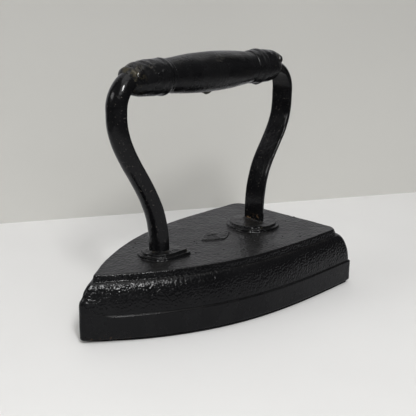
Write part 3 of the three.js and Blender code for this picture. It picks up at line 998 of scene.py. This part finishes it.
class Effect(Nodes):
    """The tree of a shader group, a material or the world."""

    def ramp(self, value, low, high, to_low=0.0, to_high=1.0):
        made = self.node("ShaderNodeMapRange", {
            "Value": value, "From Min": low, "From Max": high, "To Min": to_low, "To Max": to_high,
        }, interpolation_type="SMOOTHSTEP")
        return made.outputs[0]

    def mix(self, share, first, second):
        made = self.node("ShaderNodeMix", {0: share, 6: first, 7: second}, data_type="RGBA")
        return made.outputs[2]

    def blend(self, mask, share, first, second):
        """Lets the second colour in where the mask is, up to a share."""
        return self.mix(self.times(mask, share), first, second)

    def upward(self):
        """How far a face looks up, from -1 to 1."""
        return self.split(self.node("ShaderNodeNewGeometry").outputs["Normal"])[2]

    def along(self, vector, direction):
        """How far a vector reaches in a direction."""
        made = self.node("ShaderNodeVectorMath", {0: vector, 1: direction}, operation="DOT_PRODUCT")
        return made.outputs["Value"]

    def give(self, label, source):
        """Sends a value out of the group."""
        self.feed(self.leave.inputs[label], source)

    def effect(self, tree, **values):
        """Places an effect group and returns its outputs."""
        made = self.node("ShaderNodeGroup", node_tree=tree)
        for label, value in values.items():
            self.feed(made.inputs[label.replace("_", " ")], value)
        return made.outputs


def effect_group(name, inputs, outputs):
    tree = bpy.data.node_groups.new(name, "ShaderNodeTree")
    for label, kind, value in inputs:
        socket = tree.interface.new_socket(label, in_out="INPUT", socket_type=kind)
        if value is not None:
            socket.default_value = value
    for label in outputs:
        tree.interface.new_socket(label, in_out="OUTPUT", socket_type=FLOAT)
    effect = Effect(tree)
    effect.enter = tree.nodes.new("NodeGroupInput")
    effect.leave = tree.nodes.new("NodeGroupOutput")
    return effect


def grain_effect():
    """Paint over a cast skin: rounded peel, fine grit and slow mottling."""
    e = effect_group("cast_grain", [
        ("Vector", VECTOR, None), ("Peel scale", FLOAT, 900.0), ("Grit scale", FLOAT, 2600.0),
    ], ["Height", "Mottle", "Specks"])
    where, peel_scale, grit_scale = list(e.enter.outputs)[:3]
    soft = e.noise(Vector=where, Scale=peel_scale, Detail=0.6, Roughness=0.5)
    cells = e.node("ShaderNodeTexVoronoi", {"Vector": where, "Scale": peel_scale}, feature="F1")
    grit = e.noise(Vector=where, Scale=grit_scale, Detail=2.0, Roughness=0.6)
    height = e.times(e.maths("SUBTRACT", 1.0, cells.outputs["Distance"]), 0.18)
    height = e.plus(e.plus(height, e.times(soft, 0.74)), e.times(grit, 0.08))
    slow = e.noise(Vector=where, Scale=70.0, Detail=4.0, Roughness=0.6)
    speck = e.noise(Vector=where, Scale=1100.0, Detail=1.0)
    e.give("Height", height)
    e.give("Mottle", e.ramp(slow, 0.35, 0.65))
    e.give("Specks", e.ramp(speck, 0.66, 0.78))
    return e.tree


def patch_effect():
    """Irregular worn patches: Amount 0 gives none, 1 gives all."""
    e = effect_group("worn_patches", [
        ("Vector", VECTOR, None), ("Scale", FLOAT, 260.0), ("Amount", FLOAT, 0.3), ("Seed", FLOAT, 0.0),
    ], ["Mask"])
    where, scale, amount, seed = list(e.enter.outputs)[:4]
    wide = e.noise(Vector=where, W=seed, Scale=scale, Detail=5.0, Roughness=0.65)
    limit = e.maths("SUBTRACT", 0.78, e.times(amount, 0.52))
    e.give("Mask", e.ramp(e.maths("SUBTRACT", wide, limit), 0.0, 0.05))
    return e.tree


def dust_effect():
    """Settled dust: only on faces that look up, in soft drifts."""
    e = effect_group("settled_dust", [("Vector", VECTOR, None), ("Amount", FLOAT, 0.5)], ["Mask"])
    where, amount = list(e.enter.outputs)[:2]
    facing = e.ramp(e.upward(), 0.55, 0.98)
    drift = e.noise(Vector=where, Scale=160.0, Detail=6.0, Roughness=0.7)
    e.give("Mask", e.times(e.times(facing, e.ramp(drift, 0.3, 0.75)), amount))
    return e.tree


GRAIN = grain_effect()
PATCHES = patch_effect()
DUST = dust_effect()


def start_material(name, specular=0.5):
    """A material with one Principled shader; returns its tree helper, shader and object place."""
    material = bpy.data.materials.new(name)
    material.use_nodes = True
    tree = material.node_tree
    shader = tree.nodes["Principled BSDF"]
    shader.inputs["Specular IOR Level"].default_value = specular
    e = Effect(tree)
    where = e.node("ShaderNodeTexCoord").outputs["Object"]
    return material, e, shader, where


def join(e, shader, colour, roughness, height, depth, metallic=None):
    bump = e.node("ShaderNodeBump", {"Height": height, "Distance": depth, "Strength": 1.0})
    sources = {"Base Color": colour, "Roughness": roughness, "Normal": bump.outputs[0], "Metallic": metallic}
    for key, source in sources.items():
        if source is not None:
            e.feed(shader.inputs[key], source)


BLACK = (0.0017, 0.0017, 0.0021, 1.0)
SOOT = (0.0042, 0.0042, 0.0047, 1.0)
RUST = (0.075, 0.040, 0.020, 1.0)
OLIVE = (0.060, 0.050, 0.026, 1.0)
DUSTY = (0.10, 0.095, 0.085, 1.0)
BARE = (0.16, 0.145, 0.125, 1.0)
BARE_SOLE = (0.10, 0.098, 0.095, 1.0)
TAN_CHIP = (0.17, 0.105, 0.055, 1.0)
RUBBED = (0.045, 0.042, 0.036, 1.0)


def slug_material():
    """Stove black on the casting: smooth wall, peeled shoulder, dull grained top."""
    material, e, shader, where = start_material("stove_black_casting", 0.28)
    at = e.split(where)
    up = e.upward()
    on_top = e.times(e.ramp(up, 0.80, 0.97), e.ramp(at[2], 0.0285, 0.0300))
    shoulder = e.times(e.ramp(at[2], 0.0128, 0.0142), e.maths("SUBTRACT", 1.0, on_top))
    coarse = e.effect(GRAIN, Vector=where, Peel_scale=980.0, Grit_scale=2100.0)
    fine = e.effect(GRAIN, Vector=where, Peel_scale=800.0, Grit_scale=1700.0)
    peel = e.times(coarse["Height"], e.maths("MULTIPLY_ADD", shoulder, 0.80, 0.20))
    skin = e.times(fine["Height"], e.maths("MULTIPLY_ADD", on_top, 0.80, 0.08))
    height = e.plus(peel, skin)
    rough = e.maths("MULTIPLY_ADD", shoulder, -0.10, 0.24)
    rough = e.plus(rough, e.times(on_top, 0.05))
    rough = e.plus(rough, e.times(coarse["Mottle"], 0.07))
    low_nose = e.times(e.ramp(at[0], 0.045, 0.072), e.ramp(at[2], 0.0045, 0.0005))
    rusty = e.effect(PATCHES, Vector=where, Scale=420.0, Amount=0.42, Seed=2.0)
    rust = e.times(rusty["Mask"], low_nose)
    dust = e.effect(DUST, Vector=where, Amount=0.10)
    colour = e.blend(coarse["Mottle"], 0.7, BLACK, SOOT)
    colour = e.mix(dust["Mask"], colour, DUSTY)
    colour = e.mix(e.times(e.times(fine["Specks"], on_top), 0.25), colour, DUSTY)
    colour = e.mix(rust, colour, RUST)
    foot = e.times(e.ramp(at[2], 0.0312, 0.0328), 0.5)
    worn = e.effect(PATCHES, Vector=where, Scale=520.0, Amount=0.36, Seed=5.0)
    colour = e.mix(e.times(worn["Mask"], foot), colour, OLIVE)
    sole = e.ramp(up, -0.90, -0.98)
    colour = e.blend(sole, 0.85, colour, BARE_SOLE)
    rough = e.plus(rough, e.times(rust, 0.2))
    sole_side = e.ramp(at[2], 0.0017, 0.0014)
    rough = e.plus(rough, e.times(sole_side, 0.6))
    join(e, shader, colour, rough, height, 0.00045, e.times(sole, 0.8))
    return material


def bar_material():
    """Glossier stove black on the bars, with bare specks and a tan chip low on the rear bar."""
    material, e, shader, where = start_material("stove_black_bars", 0.28)
    at = e.split(where)
    grain = e.effect(GRAIN, Vector=where, Peel_scale=620.0, Grit_scale=2600.0)
    height = e.times(grain["Height"], 0.5)
    rough = e.maths("MULTIPLY_ADD", grain["Mottle"], 0.07, 0.12)
    colour = e.blend(grain["Mottle"], 0.6, BLACK, SOOT)
    low = e.ramp(at[2], 0.0375, 0.0335)
    chips = e.effect(PATCHES, Vector=where, Scale=480.0, Amount=0.45, Seed=3.0)
    inner = e.ramp(e.maths("ABSOLUTE", at[1]), 0.0048, 0.0030)
    rear = e.ramp(at[0], -0.0385, -0.0400)
    chip = e.times(e.times(chips["Mask"], low), e.times(inner, rear))
    colour = e.mix(chip, colour, TAN_CHIP)
    specks = e.times(grain["Specks"], 0.35)
    colour = e.mix(specks, colour, BARE)
    rough = e.plus(rough, e.times(chip, 0.3))
    join(e, shader, colour, rough, height, 0.00016)
    return material


def grip_material():
    """The barrel: thin rubbed black over sheet iron, dull on top, mottled with soot and raised in streaks."""
    material, e, shader, where = start_material("rubbed_black_grip", 0.28)
    stretch = e.node("ShaderNodeMapping", {"Vector": where, "Scale": (0.28, 1.0, 1.0)})
    grain = e.effect(GRAIN, Vector=where, Peel_scale=900.0, Grit_scale=3000.0)
    streak = e.noise(Vector=stretch.outputs[0], Scale=420.0, Detail=4.0, Roughness=0.6)
    height = e.plus(e.times(grain["Height"], 0.4), e.times(streak, 0.45))
    rough = e.maths("MULTIPLY_ADD", grain["Mottle"], 0.16, 0.19)
    colour = e.blend(grain["Mottle"], 0.8, BLACK, SOOT)
    rubbed = e.effect(PATCHES, Vector=stretch.outputs[0], Scale=210.0, Amount=0.34, Seed=7.0)
    colour = e.blend(rubbed["Mask"], 0.30, colour, RUBBED)
    dust = e.effect(DUST, Vector=where, Amount=0.16)
    colour = e.mix(dust["Mask"], colour, DUSTY)
    join(e, shader, colour, rough, height, 0.00042)
    return material


def cap_material():
    """The caps: lumpy black with bare metal and old bronze showing through."""
    material, e, shader, where = start_material("lumpy_black_caps", 0.3)
    at = e.split(where)
    up = e.upward()
    grain = e.effect(GRAIN, Vector=where, Peel_scale=760.0, Grit_scale=2400.0)
    front = e.ramp(at[0], 0.0335, 0.0370)
    high = e.ramp(up, 0.25, 0.85)
    bare = e.effect(PATCHES, Vector=where, Scale=620.0, Amount=0.42, Seed=1.0)
    shown = e.times(e.times(bare["Mask"], front), high)
    tan = e.effect(PATCHES, Vector=where, Scale=330.0, Amount=0.50, Seed=4.0)
    tan_front = e.times(tan["Mask"], e.ramp(at[0], 0.0400, 0.0440))
    rear_end = e.times(tan["Mask"], e.ramp(at[0], -0.0480, -0.0515))
    colour = e.blend(grain["Mottle"], 0.7, BLACK, SOOT)
    colour = e.blend(shown, 0.6, colour, BARE)
    colour = e.blend(tan_front, 0.3, colour, OLIVE)
    colour = e.blend(rear_end, 0.4, colour, OLIVE)
    height = e.times(grain["Height"], e.maths("MULTIPLY_ADD", shown, 0.8, 0.55))
    rough = e.maths("MULTIPLY_ADD", grain["Mottle"], 0.10, 0.20)
    metallic = e.times(shown, 0.6)
    join(e, shader, colour, rough, height, 0.00045, metallic)
    return material


def braze_material():
    """Brazing metal under old paint: olive and tan where it shows."""
    material, e, shader, where = start_material("old_brazing", 0.5)
    grain = e.effect(GRAIN, Vector=where, Peel_scale=700.0, Grit_scale=2500.0)
    shows = e.effect(PATCHES, Vector=where, Scale=300.0, Amount=0.55, Seed=9.0)
    colour = e.blend(grain["Mottle"], 0.7, BLACK, SOOT)
    colour = e.blend(shows["Mask"], 0.6, colour, OLIVE)
    rough = e.maths("MULTIPLY_ADD", shows["Mask"], 0.12, 0.34)
    join(e, shader, colour, rough, grain["Height"], 0.00018, e.times(shows["Mask"], 0.25))
    return material


def use(obj, material):
    """Gives a mesh one material on all its faces."""
    obj.data.materials.clear()
    obj.data.materials.append(material)


# ---- Floor, wall, light and camera --------------------------------------------------------------

TABLE_END = -156.0
WALL_FACING = math.radians(61.5)


def plain_surface(name, colour, roughness, mirrored_share, wall=False):
    """A matt stage surface. Mirror-like rays see it only near the iron, as if the room beyond were dim."""
    material, e, shader, where = start_material(name, 0.2)
    cloud = e.noise(Vector=where, Scale=7.0, Detail=3.0)
    darker = tuple(0.96 * c for c in colour[:3]) + (1.0,)
    tint = e.mix(e.ramp(cloud, 0.3, 0.7), colour, darker)
    if wall:
        # Painted light: the wall is made lighter towards its foot, over its lowest 0.2 m.
        low = e.ramp(e.split(where)[2], 0.20, 0.0)
        tint = e.mix(low, tint, tuple(min(1.0, 1.22 * c) for c in colour[:3]) + (1.0,))
    # Painted reflection and shade: rays reflected off the iron see this surface as a flat grey,
    # mirrored_share of its own, and as a dim grey beyond a strip round the iron.
    c, s = math.cos(WALL_FACING), math.sin(WALL_FACING)
    sideways = e.maths("ABSOLUTE", e.along(where, (s, -c, 0.0)))
    far = e.maths("MAXIMUM", e.ramp(sideways, 0.16, 0.30), e.ramp(e.along(where, (c, s, 0.0)), 0.15, 0.28))
    mirrored = e.node("ShaderNodeLightPath").outputs["Is Glossy Ray"]
    dim = e.times(far, mirrored)
    grey = sum(colour[:3]) / 3.0
    near_grey = tuple(share * grey for share in (mirrored_share, mirrored_share, 1.03 * mirrored_share))
    far_grey = tuple(share * grey for share in (0.18, 0.18, 0.185))
    tint = e.mix(mirrored, tint, near_grey + (1.0,))
    tint = e.mix(dim, tint, far_grey + (1.0,))
    e.tree.links.new(tint, shader.inputs["Base Color"])
    shader.inputs["Roughness"].default_value = roughness
    if wall:
        # The wall shows only from the front, so the iron can be seen from behind.
        clear = e.node("ShaderNodeBsdfTransparent")
        behind = e.node("ShaderNodeNewGeometry").outputs["Backfacing"]
        both = e.node("ShaderNodeMixShader", {0: behind, 1: shader.outputs[0], 2: clear.outputs[0]})
        e.tree.links.new(both.outputs[0], e.tree.nodes["Material Output"].inputs[0])
    return material


def table_rows():
    """The table's profile: flat from the wall to well in front."""
    return [(y, 0.0) for y in (TABLE_END - 40.0, TABLE_END, 0.0, 400.0, 1600.0)]


def wall_rows():
    """The wall's profile from the top down, close behind the iron."""
    return [(TABLE_END, z) for z in (900.0, 200.0, -20.0)]


def stage_sheet(name, rows, facing, half_width, material):
    """A sheet with the given side profile; facing is the direction in which it comes forward."""
    forward = Vector((math.cos(facing), math.sin(facing), 0.0))
    across = Vector((-forward.y, forward.x, 0.0))
    points = []
    for y, z in rows:
        for side in (-half_width, half_width):
            p = forward * y + across * side
            points.append((p.x, p.y, z))
    faces = [(2 * i, 2 * i + 2, 2 * i + 3, 2 * i + 1) for i in range(len(rows) - 1)]
    sheet = new_object(name, np.array(points), faces)
    use(sheet, material)


def area_light(name, place, target, size, power):
    """A white oblong soft light at place, looking at target, sizes in metres."""
    data = bpy.data.lights.new(name, "AREA")
    data.shape = "RECTANGLE"
    data.size, data.size_y = size
    data.energy = power
    lamp = add_object(name, data)
    lamp.location = place
    aim = Vector(target) - Vector(place)
    lamp.rotation_euler = aim.to_track_quat("-Z", "Y").to_euler()


def place_around(azimuth, elevation, distance):
    """A place at a distance from the iron, by compass angle and height angle in degrees."""
    a, e = math.radians(azimuth), math.radians(elevation)
    level = distance * math.cos(e)
    return (level * math.cos(a), level * math.sin(a), distance * math.sin(e))


def make_world():
    """Soft room light: dimmer near the horizon, a little brighter above."""
    world = bpy.data.worlds.new("soft_room")
    scene.world = world
    world.use_nodes = True
    tree = world.node_tree
    e = Effect(tree)
    shade = tree.nodes["Background"]
    where = e.node("ShaderNodeTexCoord").outputs["Generated"]
    level = e.ramp(e.split(where)[2], 0.05, 0.55)
    room = e.mix(level, (0.12, 0.12, 0.122, 1.0), (0.17, 0.17, 0.172, 1.0))
    seen = e.node("ShaderNodeLightPath").outputs["Is Camera Ray"]
    colour = e.mix(seen, room, (0.50, 0.49, 0.45, 1.0))
    tree.links.new(colour, shade.inputs[0])
    shade.inputs[1].default_value = 1.0


CAMERA_PLACE = (0.2798, 0.2676, 0.1594)
CAMERA_YAW = math.radians(-46.85)
CAMERA_PITCH = math.radians(16.09)
CAMERA_ROLL = math.radians(0.92)
CAMERA_LENS = 71.31


def make_camera():
    """The camera looks down on the iron from ahead of its left side."""
    forward = Vector((
        math.sin(CAMERA_YAW) * math.cos(CAMERA_PITCH),
        -math.cos(CAMERA_YAW) * math.cos(CAMERA_PITCH),
        -math.sin(CAMERA_PITCH),
    ))
    right = forward.cross(Vector((0.0, 0.0, 1.0))).normalized()
    up = right.cross(forward)
    c, s = math.cos(CAMERA_ROLL), math.sin(CAMERA_ROLL)
    right, up = right * c + up * s, up * c - right * s
    data = bpy.data.cameras.new("camera")
    data.lens = CAMERA_LENS
    data.sensor_width = 36.0
    data.clip_start = 0.01
    camera = add_object("camera", data)
    turn = Matrix((right, up, -forward)).transposed().to_4x4()
    camera.matrix_world = Matrix.Translation(CAMERA_PLACE) @ turn
    scene.camera = camera


# ---- Put together -------------------------------------------------------------------------------

scene.view_settings.view_transform = "Standard"
make_camera()
make_world()
pale = plain_surface("pale_table", (0.80, 0.795, 0.785, 1.0), 0.6, 0.62)
greyer = plain_surface("pale_wall", (0.50, 0.495, 0.47, 1.0), 0.8, 1.2, wall=True)
stage_sheet("table", table_rows(), WALL_FACING, 2200.0, pale)
stage_sheet("wall", wall_rows(), WALL_FACING, 2200.0, greyer)
area_light("window", place_around(58.0, 43.0, 1.2), (0.0, 0.0, 0.03), (0.62, 0.70), 2.2)
area_light("window_core", place_around(58.0, 43.0, 1.15), (0.0, 0.0, 0.03), (0.15, 0.26), 6.7)
area_light("ceiling", (0.1, 0.15, 1.25), (0.0, 0.0, 0.0), (0.9, 0.9), 3.5)
area_light("far_lamp", place_around(-24.0, 30.0, 1.2), (0.0, 0.0, 0.08), (0.55, 0.30), 2.0)

casting_paint = slug_material()
bar_paint = bar_material()
grip_paint = grip_material()
cap_paint = cap_material()
brazing = braze_material()


def hand_over(obj, material, slot, *nodes):
    """Gives a piece its finish and its body, and hides the solids it stands for; the slot is not used."""
    use(obj, material)
    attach(obj, BODY)
    if nodes:
        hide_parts(*nodes)
    return obj


slug = hand_over(make_slug(), casting_paint, "body_paint", "body_casting")
hand_over(make_nibs(slug, casting_paint), casting_paint, "body_paint")
hand_over(make_bar("front_bar", FRONT_BAR, bar_paint), bar_paint, "arm_paint", "front_arm")
hand_over(make_bar("rear_bar", REAR_BAR, bar_paint), bar_paint, "arm_paint", "rear_arm")
hand_over(make_barrel(), grip_paint, "grip_paint", "grip_barrel")
hand_over(make_seam(), brazing, "brazing", "grip_seam")
front_cap = turned("front_cap", refine(FRONT_CAP, 0.2), 220, front_cap_bulge)
hand_over(front_cap, cap_paint, "grip_paint", "front_ferrule")
rear_cap = turned("rear_cap", refine(REAR_CAP, 0.2), 220, rear_cap_bulge)
hand_over(rear_cap, cap_paint, "grip_paint", "rear_ferrule")
hand_over(make_braze("front_brazing", FRONT_BRAZE, 101), brazing, "brazing", "front_braze")
hand_over(make_braze("rear_brazing", REAR_BRAZE, 111), brazing, "brazing", "rear_braze")
hand_over(make_pin("front_cross_pin", FRONT_PIN, 0.4), bar_paint, "arm_paint", "front_pin")
hand_over(make_pin("rear_cross_pin", REAR_PIN, 1.9), bar_paint, "arm_paint", "rear_pin")
